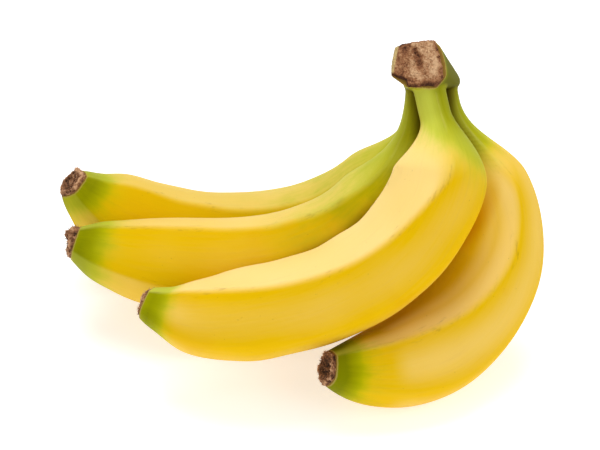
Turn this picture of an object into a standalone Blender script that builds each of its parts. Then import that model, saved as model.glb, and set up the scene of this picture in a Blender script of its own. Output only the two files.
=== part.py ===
"""A hand of four ripe bananas, joined at its crown and lying on the bellies of two of them.

Metres, +Z up. The tips point towards -X and the crown is up at +X. The origin is on the table,
under the middle of the hand. Sizes below are in millimetres and angles in degrees.
"""

import math
from dataclasses import dataclass

import bmesh
import bpy
import numpy as np
from mathutils import Vector

MM = 0.001

# Mesh fineness
SIDES = 25
RINGS = 30
RING_CROWDING = 0.35
SPINE_STEPS_PER_RING = 16
CROWN_SIDES = 24
COLLAR_SIDES = 16
END_SIDES = 15
SHARP_EDGE = 50.0

# The skin of a finger
RIDGES = 5
RIDGE_HEIGHT = 0.034
RIDGE_SHARPNESS = 0.010
RIDGE_EASING = (-8.0, -4.0, 0.0, 4.0, 8.0)
NECK_RIDGING = 0.4
NECK_RADIUS = 6.3
TIP_RADIUS = 6.7
TIP_BLUNTNESS = 2.4
TIP_LIFT_SHARE = 0.2
FLARE_LENGTH = 34.0
ROOT_SINK = 4.0

# The crown: a firm pad drawn round the four roots and its own squarish cut, which faces up and forward
CROWN_CUT = Vector((-5.0, -8.0, 16.0))
CROWN_CUT_NORMAL = Vector((-0.14, -0.58, 0.80)).normalized()
CROWN_CUT_HALF_WIDTH = 9.2
CROWN_CUT_HALF_HEIGHT = 9.4
CROWN_SQUARENESS = 2.8
CROWN_GRIP = 1.06
CROWN_REACH = 3.0
CROWN_TRIM = 2.0
ROOT_TRIM_REACH = 22.0

# The dry brown ends
GAP = 0.3
CUT_END_THICKNESS = 1.4
CUT_END_LAYERS = ((0.0, 0.97), (0.6, 0.95), (1.0, 0.84))
BLOSSOM_RADIUS = 6.0
BLOSSOM_RIM_RADIUS = 5.0
BLOSSOM_DISH_RADIUS = 3.0
BLOSSOM_DISH_FLOOR = 0.65

# How far the table presses the bellies flat
FLAT_DEPTH = 0.6


@dataclass(frozen=True)
class Finger:
    """One banana: where its neck leaves the crown, how it leans and how it curls."""

    name: str
    root: tuple[float, float, float]
    lean_right: float
    lean_forward: float
    curl_toward: float
    length: float
    flare: float
    bend: float
    bend_start: float
    front_load: float
    tip_lift: float
    radius: float
    neck_length: float
    shoulder_length: float
    taper_length: float
    stub_length: float
    ridge_path: tuple[tuple[float, float], ...]


# A ridge path says at which angle, from the inner curve, one ridge lies at a distance along the finger
FINGERS = (
    Finger("front", root=(-0.5, -9.0, 8.5), lean_right=15, lean_forward=45, curl_toward=166,
           length=170, flare=10, bend=110, bend_start=14, front_load=2.2, tip_lift=25,
           radius=17.8, neck_length=12.5, shoulder_length=26, taper_length=51, stub_length=1.8,
           ridge_path=((30, 244), (55, 271), (90, 284), (125, 292), (165, 308))),
    Finger("right", root=(5.5, -1.0, -0.5), lean_right=12, lean_forward=29, curl_toward=208.5,
           length=157, flare=19, bend=125, bend_start=42, front_load=1.45, tip_lift=0,
           radius=19.1, neck_length=9.5, shoulder_length=32, taper_length=51, stub_length=3.6,
           ridge_path=((30, 250), (60, 271), (85, 290), (112, 304), (155, 315))),
    Finger("middle", root=(-2.5, 1.0, -2.0), lean_right=-5, lean_forward=22.5, curl_toward=174,
           length=178, flare=9, bend=103, bend_start=11, front_load=2.25, tip_lift=6.5,
           radius=19.2, neck_length=13.5, shoulder_length=39.5, taper_length=58, stub_length=3.6,
           ridge_path=((45, 311), (88, 325), (170, 332))),
    Finger("back", root=(0.0, 10.0, -7.0), lean_right=-8, lean_forward=-4.5, curl_toward=179.5,
           length=190.5, flare=2, bend=114, bend_start=17, front_load=1.5, tip_lift=20,
           radius=17.8, neck_length=15, shoulder_length=42.5, taper_length=40, stub_length=3.8,
           ridge_path=((60, 338), (105, 343), (140, 350), (190, 355))),
)
BELLIES = ("right", "back")


def smooth(share):
    """Ease from 0 to 1 as the share goes from 0 to 1."""
    share = np.clip(share, 0.0, 1.0)
    return share * share * (3.0 - 2.0 * share)


def unit(vector):
    """The vector at length 1."""
    return vector / np.linalg.norm(vector)


def finger_axes(finger):
    """The direction in which the neck sets out, and the one towards which the finger curls."""
    heading = unit(np.array([
        math.tan(math.radians(finger.lean_right)), -math.tan(math.radians(finger.lean_forward)), -1.0]))
    curl = math.radians(finger.curl_toward)
    level = np.array([math.cos(curl), math.sin(curl), 0.0])
    return heading, unit(level - heading * (level @ heading))


def turn_at(finger, distance):
    """How far the finger has turned towards its curl at a distance along it, in radians."""
    flare = math.radians(finger.flare) * smooth(distance / FLARE_LENGTH)
    run = np.clip((distance - finger.bend_start) / (finger.length - finger.bend_start), 0.0, 1.0)
    bend = math.radians(finger.bend) * (1.0 - (1.0 - run) ** finger.front_load)
    lift = math.radians(finger.tip_lift) * np.clip(1.0 - (1.0 - run) / TIP_LIFT_SHARE, 0.0, 1.0)
    return bend + lift - flare


def radius_at(finger, distance):
    """The finger's mean radius: slim neck, shoulder, full body and blunt tip."""
    shoulder = smooth((distance - finger.neck_length) / finger.shoulder_length)
    body = NECK_RADIUS + (finger.radius - NECK_RADIUS) * shoulder
    left = np.clip((finger.length - distance) / finger.taper_length, 0.0, 1.0)
    fullness = 1.0 - (1.0 - left) ** TIP_BLUNTNESS
    return TIP_RADIUS + (body - TIP_RADIUS) * fullness


def spine_of(finger, count):
    """Points along the middle of a finger, with the directions along it and towards its curl."""
    heading, curl = finger_axes(finger)
    fine = np.linspace(0.0, finger.length, SPINE_STEPS_PER_RING * count)
    turn = turn_at(finger, fine)
    step = fine[1] - fine[0]
    middle = 0.5 * (turn[1:] + turn[:-1])
    along = np.concatenate([[0.0], np.cumsum(np.cos(middle) * step)])
    aside = np.concatenate([[0.0], np.cumsum(np.sin(middle) * step)])
    # Rings stand closer together at the neck and at the tip
    share = np.linspace(0.0, 1.0, count)
    distance = finger.length * (share - RING_CROWDING * np.sin(2.0 * math.pi * share) / (2.0 * math.pi))
    along_at = np.interp(distance, fine, along)[:, None]
    aside_at = np.interp(distance, fine, aside)[:, None]
    turned = np.interp(distance, fine, turn)[:, None]
    points = np.array(finger.root) + along_at * heading + aside_at * curl
    forward = np.cos(turned) * heading + np.sin(turned) * curl
    inward = -np.sin(turned) * heading + np.cos(turned) * curl
    return distance, points, forward, inward


def ridge_angle(finger, distance):
    """Where the finger's ridge path lies, in radians from the inner curve."""
    keys = np.array(finger.ridge_path)
    near = [np.interp(distance + shift, keys[:, 0], keys[:, 1]) for shift in RIDGE_EASING]
    return math.radians(np.mean(near))


def ridged(from_ridge, strength):
    """The skin's height over its mean radius: five soft ridges, the first at 0."""
    wave = RIDGE_HEIGHT * np.cos(RIDGES * from_ridge) + RIDGE_SHARPNESS * np.cos(2 * RIDGES * from_ridge)
    return 1.0 + strength * wave


def ringed_object(name, rings, material):
    """A closed object from rings of points, each end closed by a flat face."""
    mesh = bmesh.new()
    made = [[mesh.verts.new(Vector(point) * MM) for point in ring] for ring in rings]
    sides = len(made[0])
    for lower, upper in zip(made, made[1:]):
        for i in range(sides):
            j = (i + 1) % sides
            mesh.faces.new((lower[i], lower[j], upper[j], upper[i]))
    mesh.faces.new(made[0])
    mesh.faces.new(made[-1])
    bmesh.ops.recalc_face_normals(mesh, faces=mesh.faces)
    return object_from(mesh, name, material)


def object_from(mesh, name, material):
    """A smooth-shaded object in the scene from a finished mesh."""
    data = bpy.data.meshes.new(name)
    mesh.to_mesh(data)
    mesh.free()
    data.shade_smooth()
    data.set_sharp_from_angle(angle=math.radians(SHARP_EDGE))
    data.materials.append(material)
    made_object = bpy.data.objects.new(name, data)
    bpy.context.scene.collection.objects.link(made_object)
    return made_object


def finger_mesh(finger, material):
    """One finger from inside the crown to the flat ring that carries its blossom end."""
    distance, points, forward, inward = spine_of(finger, RINGS)
    from_ridge = 2.0 * math.pi * np.arange(SIDES) / SIDES
    rings = []
    for s, point, ahead, inner in zip(distance, points, forward, inward):
        across = np.cross(ahead, inner)
        shoulder = smooth((s - finger.neck_length) / finger.shoulder_length)
        strength = NECK_RIDGING + (1.0 - NECK_RIDGING) * shoulder
        radius = radius_at(finger, s) * ridged(from_ridge, strength)
        angles = ridge_angle(finger, s) + from_ridge
        rings.append([point + r * (math.cos(a) * inner + math.sin(a) * across) for a, r in zip(angles, radius)])
    sunk = [np.array(point) - ROOT_SINK * forward[0] for point in rings[0]]
    return ringed_object(finger.name, [sunk, *rings], material)


def crown_ring(center, size, sides):
    """A squarish ring of the crown's cut, at a share of its full size."""
    across = Vector((0.0, 0.0, 1.0)).cross(CROWN_CUT_NORMAL).normalized()
    over = CROWN_CUT_NORMAL.cross(across)
    ring = []
    for i in range(sides):
        angle = 2.0 * math.pi * i / sides
        c, s = math.cos(angle), math.sin(angle)
        reach = size * (abs(c) ** CROWN_SQUARENESS + abs(s) ** CROWN_SQUARENESS) ** (-1.0 / CROWN_SQUARENESS)
        ring.append(center + across * (CROWN_CUT_HALF_WIDTH * reach * c) + over * (CROWN_CUT_HALF_HEIGHT * reach * s))
    return ring


def crown_mesh(material):
    """The crown: the hull of its cut and of a collar round each finger's root."""
    points = crown_ring(CROWN_CUT + CROWN_CUT_NORMAL * CROWN_TRIM, 1.0, CROWN_SIDES)
    angles = 2.0 * math.pi * np.arange(COLLAR_SIDES) / COLLAR_SIDES
    for finger in FINGERS:
        heading, inner = finger_axes(finger)
        across = np.cross(heading, inner)
        for along in (-ROOT_SINK, CROWN_REACH):
            center = np.array(finger.root) + along * heading
            for angle in angles:
                outward = math.cos(angle) * inner + math.sin(angle) * across
                points.append(Vector(center + CROWN_GRIP * NECK_RADIUS * outward))
    mesh = bmesh.new()
    made = [mesh.verts.new(point * MM) for point in points]
    hull = bmesh.ops.convex_hull(mesh, input=made)
    inside = {*hull["geom_interior"], *hull["geom_unused"]}
    bmesh.ops.delete(mesh, geom=[item for item in inside if isinstance(item, bmesh.types.BMVert)], context="VERTS")
    bmesh.ops.recalc_face_normals(mesh, faces=mesh.faces)
    return object_from(mesh, "crown", material)


def cut_end_mesh(material):
    """The dry brown layer over the crown's cut."""
    rings = [
        crown_ring(CROWN_CUT + CROWN_CUT_NORMAL * (GAP + share * CUT_END_THICKNESS), size, CROWN_SIDES)
        for share, size in CUT_END_LAYERS
    ]
    return ringed_object("crown_cut_end", rings, material)


def blossom_end_mesh(finger, material):
    """The dry brown stub at a finger's tip, where the flower was: a ring with a shallow dish."""
    _, points, forward, inward = spine_of(finger, RINGS)
    tip, ahead, inner = points[-1], forward[-1], inward[-1]
    across = np.cross(ahead, inner)
    profile = (
        (GAP, BLOSSOM_RADIUS),
        (0.6 * finger.stub_length, 0.5 * (BLOSSOM_RADIUS + BLOSSOM_RIM_RADIUS)),
        (finger.stub_length, BLOSSOM_RIM_RADIUS),
        (0.95 * finger.stub_length, 0.5 * (BLOSSOM_RIM_RADIUS + BLOSSOM_DISH_RADIUS)),
        (BLOSSOM_DISH_FLOOR * finger.stub_length, BLOSSOM_DISH_RADIUS),
    )
    angles = 2.0 * math.pi * np.arange(END_SIDES) / END_SIDES
    rings = [
        [tip + ahead * height + radius * (math.cos(a) * inner + math.sin(a) * across) for a in angles]
        for height, radius in profile
    ]
    return ringed_object(f"blossom_end_{finger.name}", rings, material)


def material_of(name, color, roughness):
    """A plain skin or husk material."""
    made = bpy.data.materials.new(name)
    made.use_nodes = True
    shader = made.node_tree.nodes["Principled BSDF"]
    shader.inputs["Base Color"].default_value = (*color, 1.0)
    shader.inputs["Roughness"].default_value = roughness
    shader.inputs["Metallic"].default_value = 0.0
    return made


def joined(name, pieces):
    """One solid from overlapping pieces, by a Boolean union that is applied."""
    first, rest = pieces[0], pieces[1:]
    group = bpy.data.collections.new("to join")
    for piece in rest:
        group.objects.link(piece)
    union = first.modifiers.new("union", "BOOLEAN")
    union.operation = "UNION"
    union.operand_type = "COLLECTION"
    union.collection = group
    union.solver = "EXACT"
    graph = bpy.context.evaluated_depsgraph_get()
    data = bpy.data.meshes.new_from_object(first.evaluated_get(graph))
    first.modifiers.clear()
    for piece in rest:
        bpy.data.objects.remove(piece)
    bpy.data.collections.remove(group)
    first.data = data
    first.name = name
    data.name = name
    return first


def lowest_point(thing):
    """The height of an object's lowest point, in metres."""
    return min(vertex.co.z for vertex in thing.data.vertices)


def cut_off(thing, point, inside, reach=math.inf):
    """Cut an object off at a plane, within reach of a point on it, and close it with flat faces.

    The side that inside points to is kept.
    """
    mesh = bmesh.new()
    mesh.from_mesh(thing.data)
    near = {vertex for vertex in mesh.verts if (vertex.co - point).length < reach}
    geometry = [vertex for vertex in mesh.verts if vertex in near]
    geometry += [item for item in (*mesh.edges, *mesh.faces) if near.issuperset(item.verts)]
    cut = bmesh.ops.bisect_plane(mesh, geom=geometry, plane_co=point, plane_no=inside, clear_inner=True)
    edges = [item for item in cut["geom_cut"] if isinstance(item, bmesh.types.BMEdge)]
    bmesh.ops.holes_fill(mesh, edges=edges, sides=0)
    bmesh.ops.recalc_face_normals(mesh, faces=mesh.faces)
    mesh.to_mesh(thing.data)
    mesh.free()


def stand_on_origin(things):
    """Move everything together so that the origin is at the bottom middle of the hand's box."""
    corners = [vertex.co for thing in things for vertex in thing.data.vertices]
    low = Vector(min(corner[i] for corner in corners) for i in range(3))
    high = Vector(max(corner[i] for corner in corners) for i in range(3))
    shift = Vector((-(low.x + high.x) / 2.0, -(low.y + high.y) / 2.0, -low.z))
    for thing in things:
        for vertex in thing.data.vertices:
            vertex.co += shift


def build():
    """Make the hand and its brown ends."""
    for old in list(bpy.data.objects):
        bpy.data.objects.remove(old)
    skin = material_of("banana_skin", (0.82, 0.56, 0.06), 0.45)
    cut = material_of("crown_cut", (0.30, 0.17, 0.08), 0.85)
    husk = material_of("blossom_husk", (0.19, 0.10, 0.05), 0.85)

    fingers = [finger_mesh(finger, skin) for finger in FINGERS]
    floor = max(lowest_point(thing) for thing in fingers if thing.name in BELLIES) + FLAT_DEPTH * MM
    crown = crown_mesh(skin)
    cut_off(crown, CROWN_CUT * MM, -CROWN_CUT_NORMAL)
    for finger in fingers:
        cut_off(finger, (CROWN_CUT - CROWN_CUT_NORMAL * GAP) * MM, -CROWN_CUT_NORMAL, ROOT_TRIM_REACH * MM)
    hand = joined("banana_hand", [crown, *fingers])
    cut_off(hand, Vector((0.0, 0.0, floor)), Vector((0.0, 0.0, 1.0)))
    ends = [blossom_end_mesh(finger, husk) for finger in FINGERS]
    stand_on_origin([hand, cut_end_mesh(cut), *ends])


if __name__ == "__main__":
    build()
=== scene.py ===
"""The looks of a hand of four ripe bananas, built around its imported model.

Metres, +Z up, in the model's own frame. The shapes are worked out in millimetres from the crown's
heart, the point that the four necks grow from, and angles are in degrees unless a name says otherwise.
"""

from __future__ import annotations

import itertools
import logging
import math
from dataclasses import dataclass, field
from enum import Enum
from functools import reduce
from typing import Any, Iterable, Mapping, Sequence, TypeAlias

import bmesh
import bpy
import numpy as np
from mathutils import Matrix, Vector

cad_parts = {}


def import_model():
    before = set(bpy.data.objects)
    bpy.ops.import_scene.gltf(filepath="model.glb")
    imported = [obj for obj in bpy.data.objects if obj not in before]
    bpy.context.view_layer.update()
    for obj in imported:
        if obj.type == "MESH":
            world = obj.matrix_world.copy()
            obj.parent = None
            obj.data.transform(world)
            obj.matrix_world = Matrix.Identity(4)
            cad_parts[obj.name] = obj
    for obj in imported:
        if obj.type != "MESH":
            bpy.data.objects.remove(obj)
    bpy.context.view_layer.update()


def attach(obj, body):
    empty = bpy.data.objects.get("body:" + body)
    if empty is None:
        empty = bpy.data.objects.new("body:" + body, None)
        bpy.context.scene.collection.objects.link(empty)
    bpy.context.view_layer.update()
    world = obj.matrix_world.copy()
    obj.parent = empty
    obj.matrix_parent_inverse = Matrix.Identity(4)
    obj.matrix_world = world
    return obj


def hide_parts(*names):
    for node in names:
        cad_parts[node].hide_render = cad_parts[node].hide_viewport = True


LOG = logging.getLogger("banana_hand")

MM = 0.001
# The crown's heart, in millimetres from the frame's origin
HEART = np.array([49.909, 25.011, 99.343])
# A banana's section has five faces
FACES = 5
# What the lattice noise scrambles its cells' numbers with
PLACE_PRIMES = (73856093, 19349663, 83492791)
SEED_PRIME, MIXING_PRIME = 2654435761, 1274126177
# How many places are looked up at a time
BATCH = 50_000
# How far from a neighbour the painted crease shade still shows, and over what length it darkens, in
# millimetres
CREASE_SHADE_REACH, CREASE_SHADE_FADE = 9.5, 7.5

Array: TypeAlias = np.ndarray
Color: TypeAlias = tuple[float, float, float]
Path: TypeAlias = tuple[tuple[float, float], ...]


class Body(Enum):
    """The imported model's bodies that a piece can ride on."""

    HAND = "root"


class Node(Enum):
    """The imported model's nodes that the pieces stand for."""

    SKIN = "banana_hand"
    CUT_END = "crown_cut_end"
    BLOSSOM = "blossom_end"


class Slot(Enum):
    """The record's material slots."""

    SKIN = "banana_skin"
    CUT = "crown_cut"
    HUSK = "blossom_husk"


def srgb(red: int, green: int, blue: int) -> Color:
    """A linear colour from the 0 to 255 values that a screen shows."""
    shares = [value / 255.0 for value in (red, green, blue)]
    return tuple(s / 12.92 if s <= 0.04045 else ((s + 0.055) / 1.055) ** 2.4 for s in shares)


def smooth(share: Array | float) -> Array:
    """Ease from 0 to 1 as the share goes from 0 to 1."""
    share = np.clip(share, 0.0, 1.0)
    return share * share * (3.0 - 2.0 * share)


def rise(value: Array, start: float, length: float) -> Array:
    """Ease from 0 at the start to 1 a length beyond it."""
    return smooth((value - start) / length)


def fall(value: Array, end: float, length: float) -> Array:
    """Ease from 1 a length before the end to 0 at the end."""
    return smooth((end - value) / length)


def bell(value: Array, middle: float | Array, width: float) -> Array:
    """1 in the middle, and close to 0 two widths away from it."""
    return np.exp(-((value - middle) / width) ** 2)


def unit(vector: Array) -> Array:
    """The vector, or each row of vectors, at length 1."""
    return vector / np.linalg.norm(vector, axis=-1, keepdims=True)


def full_turn(count: int) -> Array:
    """Angles in radians, all the way round in equal steps."""
    return 2.0 * math.pi * np.arange(count) / count


def rounded_path(at: Array, places: Array, values: Array, shifts: Sequence[float]) -> Array:
    """Values read between the points of a path, with its corners rounded by a mean over some shifts."""
    return np.mean([np.interp(at + shift, places, values) for shift in shifts], axis=0)


def lattice_noise(points: Array, seed: int) -> Array:
    """Smooth random values from -1 to 1, one cell of the lattice to a unit.

    Args:
        points: Places, with x, y and z in the last axis.
        seed: Which pattern.

    Returns:
        A value for each place.
    """
    cell = np.floor(points).astype(np.int64)
    part = points - cell
    part = part * part * (3.0 - 2.0 * part)
    total = np.zeros(points.shape[:-1])
    for corner in itertools.product((0, 1), repeat=3):
        mixed = np.bitwise_xor.reduce((cell + np.array(corner)) * np.array(PLACE_PRIMES), axis=-1)
        mixed = mixed ^ (seed * SEED_PRIME)
        mixed = ((mixed ^ (mixed >> 13)) * MIXING_PRIME) & 0xFFFFFFFF
        mixed = (mixed ^ (mixed >> 15)) & 0xFFFF
        weight = np.prod(np.where(np.array(corner), part, 1.0 - part), axis=-1)
        total += weight * (mixed / 32767.5 - 1.0)
    return total


def rough_noise(points: Array, seed: int, octaves: int = 4, gain: float = 0.5) -> Array:
    """Lattice noise with finer noise added to it, about -1 to 1.

    Args:
        points: Places, with x, y and z in the last axis.
        seed: Which pattern.
        octaves: How many times finer noise is added, each at twice the fineness.
        gain: How strong each octave is beside the one before.

    Returns:
        A value for each place.
    """
    total, strength, most = np.zeros(points.shape[:-1]), 1.0, 0.0
    for octave in range(octaves):
        total += strength * lattice_noise(points * 2.0 ** octave + 17.3 * octave, seed + octave)
        most += strength
        strength *= gain
    return total / most


def placed(name: str, data: bpy.types.ID) -> bpy.types.Object:
    """Put a mesh, a light or a camera in the scene.

    Args:
        name: The new object's name.
        data: What it shows.

    Returns:
        The new object.
    """
    made = bpy.data.objects.new(name, data)
    bpy.context.scene.collection.objects.link(made)
    return made


def mesh_object(
    name: str, points: Array, faces: Sequence[Sequence[int]], values: Mapping[str, Array]
) -> bpy.types.Object:
    """A smooth-shaded object in the scene, with its place in its mesh.

    Args:
        name: The object's name.
        points: Vertex places in millimetres from the crown's heart.
        faces: Vertex numbers of each face, counter-clockwise from outside.
        values: Named values for each vertex, numbers or vectors, for the material.

    Returns:
        The new object.
    """
    mesh = bpy.data.meshes.new(name)
    mesh.from_pydata(((points + HEART) * MM).tolist(), [], faces)
    for key, value in values.items():
        kind, field_name = ("FLOAT", "value") if value.ndim == 1 else ("FLOAT_VECTOR", "vector")
        layer = mesh.attributes.new(key, kind, "POINT")
        layer.data.foreach_set(field_name, value.astype(np.float32).ravel())
    mesh.shade_smooth()
    mesh.update()
    return placed(name, mesh)


def ring_faces(rings: int, sides: int, pole_first: bool = False) -> list[tuple[int, ...]]:
    """Faces over rings of points that follow each other, closed by a single point at one end.

    Args:
        rings: How many rings.
        sides: How many points a ring has.
        pole_first: Whether the single point comes before the rings, as vertex 0, or after them.

    Returns:
        The faces, facing outwards where the rings run counter-clockwise about the way they follow.
    """
    start, steps = int(pole_first), [(i, (i + 1) % sides) for i in range(sides)]
    faces: list[tuple[int, ...]] = []
    for low in range(start, start + (rings - 1) * sides, sides):
        faces += [(low + i, low + j, low + sides + j, low + sides + i) for i, j in steps]
    if pole_first:
        return faces + [(0, start + j, start + i) for i, j in steps]
    last = rings * sides
    return faces + [(last - sides + i, last - sides + j, last) for i, j in steps]


# The shape of one finger


@dataclass(frozen=True)
class Spine:
    """Points along a finger's middle, each with its own three directions."""

    distance: Array
    points: Array
    forward: Array
    inward: Array
    across: Array


@dataclass(frozen=True)
class Finger:
    """One banana: how its spine runs, how thick it is, where its ridges run and how green it still is."""

    name: str
    # Where the neck grows from, how it leans and which way the finger curls
    root: tuple[float, float, float]
    lean_right: float
    lean_forward: float
    curl_toward: float
    # How long the spine is, and how it opens, bends and lifts its tip
    length: float
    flare: float
    bend: float
    bend_start: float
    front_load: float
    tip_lift: float
    # How thick the full finger is, and how long its neck, shoulder and taper are
    radius: float
    neck_length: float
    shoulder_length: float
    taper_length: float
    # The ridge that the others keep step with: millimetres along and degrees round
    ridge_path: Path
    # Its colours: greenness by the distance from the neck and from the tip, pale faces and painted sheen
    # and highlight
    neck_green: Path
    tip_green: Path
    green_lean: float
    paleness_and_sheen: float
    highlight_band: float
    seed: int
    # What only some of the fingers have of their own
    ridge_sharpness: tuple[float, ...] = (1.0, 0.8, 0.6, 0.6, 0.35)
    tip_bluntness: float = 2.4
    neck_radius: float = 6.3
    pinch: float = 0.4
    pinch_at: float = 8.0
    pinch_spread: float = 6.0
    pale_reach: tuple[float, float] = (72.0, 45.0)
    shoulder_pale_and_sheen: tuple[float, float] = (30.0, 0.0)
    # Where the painted crease shade lightens, on the open shoulder
    open_at: float = 41.0
    collar: float = 6.9
    # Where the painted highlight band starts, in millimetres from the tip
    highlight_start: float = 5.0
    neck_pale_and_sheen: float = 0.12
    low_paleness: float = 0.0
    # How much painted shade darkens a finger that lies behind the others
    shade_behind: float = 0.0
    ripe_side: float = 240.0
    ripe_share: float = 0.0
    # What all the fingers share
    tip_radius: float = 6.7
    tip_lift_share: float = 0.2
    flare_length: float = 34.0
    ridging: float = 0.55
    neck_ridging: float = 0.12
    ridge_crispness: float = 30.0
    waviness: float = 0.13
    swells: tuple[tuple[int, float], ...] = ((1, 62.0), (2, 41.0), (3, 55.0), (1, 29.0), (2, 23.0))
    grain_radius: float = 18.0
    grain_shift: float = 90.0
    swell_fades: tuple[float, float] = (30.0, 18.0)
    lean_length: float = 14.0
    # Where faces are pale with painted sheen and highlight. A span is an end and the length of the fade
    # before it
    pale_edge: float = 12.0
    pale_edge_at_neck: float = 72.0
    neck_edge_span: tuple[float, float] = (46.0, 24.0)
    highlight_span: tuple[float, float] = (50.0, 20.0)
    highlight_rise: float = 9.0
    highlight_peak: tuple[float, float, float] = (13.0, 7.0, 0.9)
    low_face: tuple[float, float] = (-142.0, -70.0)
    low_fades: tuple[float, float] = (12.0, 8.0)
    low_span: tuple[float, float] = (60.0, 40.0)
    shoulder_spread: float = 8.0
    neck_pale_span: tuple[float, float] = (28.0, 16.0)
    end_reach: float = 60.0

    def axes(self) -> tuple[Array, Array]:
        """How the finger stands at its root.

        Returns:
            The direction in which the neck sets out, and the one towards which the finger curls.
        """
        heading = unit(np.array([
            math.tan(math.radians(self.lean_right)), -math.tan(math.radians(self.lean_forward)), -1.0]))
        curl = math.radians(self.curl_toward)
        level = np.array([math.cos(curl), math.sin(curl), 0.0])
        return heading, unit(level - heading * (level @ heading))

    def turn_at(self, distance: Array) -> Array:
        """How far the finger has turned towards its curl.

        Args:
            distance: Millimetres along it.

        Returns:
            The turn at each distance, in radians.
        """
        flare = math.radians(self.flare) * rise(distance, 0.0, self.flare_length)
        run = np.clip((distance - self.bend_start) / (self.length - self.bend_start), 0.0, 1.0)
        bend = math.radians(self.bend) * (1.0 - (1.0 - run) ** self.front_load)
        lift = math.radians(self.tip_lift) * np.clip(1.0 - (1.0 - run) / self.tip_lift_share, 0.0, 1.0)
        return bend + lift - flare

    def grown(self, distance: Array) -> Array:
        """How far the neck has widened to the full finger: 0 at the neck, 1 past the shoulder."""
        return rise(distance, self.neck_length, self.shoulder_length)

    def mean_radius(self, distance: Array) -> Array:
        """How thick the finger is: a slim neck, a shoulder, a full body and a blunt tip.

        Args:
            distance: Millimetres along it.

        Returns:
            The mean radius at each distance, in millimetres.
        """
        to_end = self.length - distance
        body = self.neck_radius + (self.radius - self.neck_radius) * self.grown(distance)
        fullness = 1.0 - (1.0 - np.clip(to_end / self.taper_length, 0.0, 1.0)) ** self.tip_bluntness
        pinched = self.pinch * bell(to_end, self.pinch_at, self.pinch_spread)
        return self.tip_radius + (body - self.tip_radius) * fullness - pinched

    def spine(self, distance: Array) -> Spine:
        """The spine at some distances, straight on before its root.

        Args:
            distance: Millimetres along the spine from its root.

        Returns:
            Points and directions, one row for each distance.
        """
        heading, curl = self.axes()
        fine = np.linspace(0.0, self.length, 480)
        turn = self.turn_at(fine)
        middle, step = 0.5 * (turn[1:] + turn[:-1]), fine[1] - fine[0]
        along = np.concatenate([[0.0], np.cumsum(np.cos(middle) * step)])
        aside = np.concatenate([[0.0], np.cumsum(np.sin(middle) * step)])
        before = np.minimum(distance, 0.0)
        along_at = (np.interp(distance, fine, along) + before)[:, None]
        aside_at = np.interp(distance, fine, aside)[:, None]
        turned = np.interp(distance, fine, turn)[:, None]
        forward = np.cos(turned) * heading + np.sin(turned) * curl
        inward = -np.sin(turned) * heading + np.cos(turned) * curl
        points = np.array(self.root) + along_at * heading + aside_at * curl
        return Spine(distance, points, forward, inward, np.cross(forward, inward))

    def ridge_angle(self, distance: Array) -> Array:
        """Where the ridge that the path follows lies round the finger, in radians."""
        keys = np.array(self.ridge_path)
        return np.radians(rounded_path(distance, keys[:, 0], keys[:, 1], (-8.0, -4.0, 0.0, 4.0, 8.0)))

    def ridge_share(self, distance: Array, angle: Array) -> Array:
        """How near a place on the skin is to a ridge line: 1 on it, 0 in the middle of a face."""
        from_ridge = angle - self.ridge_angle(distance)
        return (0.5 + 0.5 * np.cos(FACES * from_ridge)) * (0.6 + 0.4 * self.sharpness_at(from_ridge))

    def radius_at(self, distance: Array, angle: Array) -> Array:
        """The skin's distance from the spine: a five-sided section with rounded corners, a little uneven.

        Args:
            distance: Millimetres along the spine.
            angle: Radians round it, from the inner side of its curl.

        Returns:
            The radius at each place.
        """
        from_ridge = angle - self.ridge_angle(distance)
        section = self.five_sided(from_ridge) / self.five_sided(np.linspace(0.0, 2.0 * math.pi, 720)).mean()
        strength = self.ridging * (self.neck_ridging + (1.0 - self.neck_ridging) * self.grown(distance))
        strength = strength * self.sharpness_at(from_ridge)
        even = self.mean_radius(distance) * (1.0 + strength * (section - 1.0))
        return even + self.unevenness(distance, angle)

    def sharpness_at(self, from_ridge: Array) -> Array:
        """How strongly the ridge nearest to an angle stands out, from the five ridges' own values."""
        keys = [*self.ridge_sharpness, self.ridge_sharpness[0]]
        return np.interp(np.degrees(from_ridge) % 360.0, np.linspace(0.0, 360.0, FACES + 1), keys)

    def five_sided(self, from_ridge: Array) -> Array:
        """A five-sided outline with rounded corners.

        Args:
            from_ridge: Radians from the first corner.

        Returns:
            How far the outline reaches at each angle.
        """
        facings = (np.cos(from_ridge - math.pi * (2 * side + 1) / FACES) for side in range(FACES))
        total = sum(np.maximum(facing, 0.0) ** self.ridge_crispness for facing in facings)
        return total ** (-1.0 / self.ridge_crispness)

    def unevenness(self, distance: Array, angle: Array) -> Array:
        """Slow swells of the skin, gone at the neck and at the tip.

        Args:
            distance: Millimetres along the spine.
            angle: Radians round it.

        Returns:
            How far the skin stands out at each place, in millimetres.
        """
        draw = np.random.default_rng(self.seed)
        total = np.zeros(np.broadcast(distance, angle).shape)
        for turns, wave in self.swells:
            phase = draw.uniform(0.0, 2.0 * math.pi, 2)
            total += np.sin(2.0 * math.pi * distance / wave + phase[0]) * np.cos(turns * angle + phase[1])
        at_neck, at_tip = self.swell_fades
        ends = rise(distance, self.neck_length, at_neck) * fall(distance, self.length, at_tip)
        return self.waviness * total * ends

    def greenness(self, distance: Array, angle: Array) -> Array:
        """How green the skin still is: 1 deep green, 0 ripe yellow.

        Args:
            distance: Millimetres along the spine.
            angle: Radians round it, from the inner side of its curl.

        Returns:
            The greenness at each place.
        """
        neck, tip = np.array(self.neck_green), np.array(self.tip_green)
        leaning = self.green_lean * np.cos(angle) * rise(distance, 0.0, self.lean_length)
        from_neck = np.interp(distance + leaning, neck[:, 0], neck[:, 1])
        from_tip = np.interp(self.length - distance, tip[:, 0], tip[:, 1])
        riper = self.ripe_share * np.maximum(np.cos(angle - math.radians(self.ripe_side)), 0.0) ** 2
        return np.maximum(from_neck, from_tip * (1.0 - riper))

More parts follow.
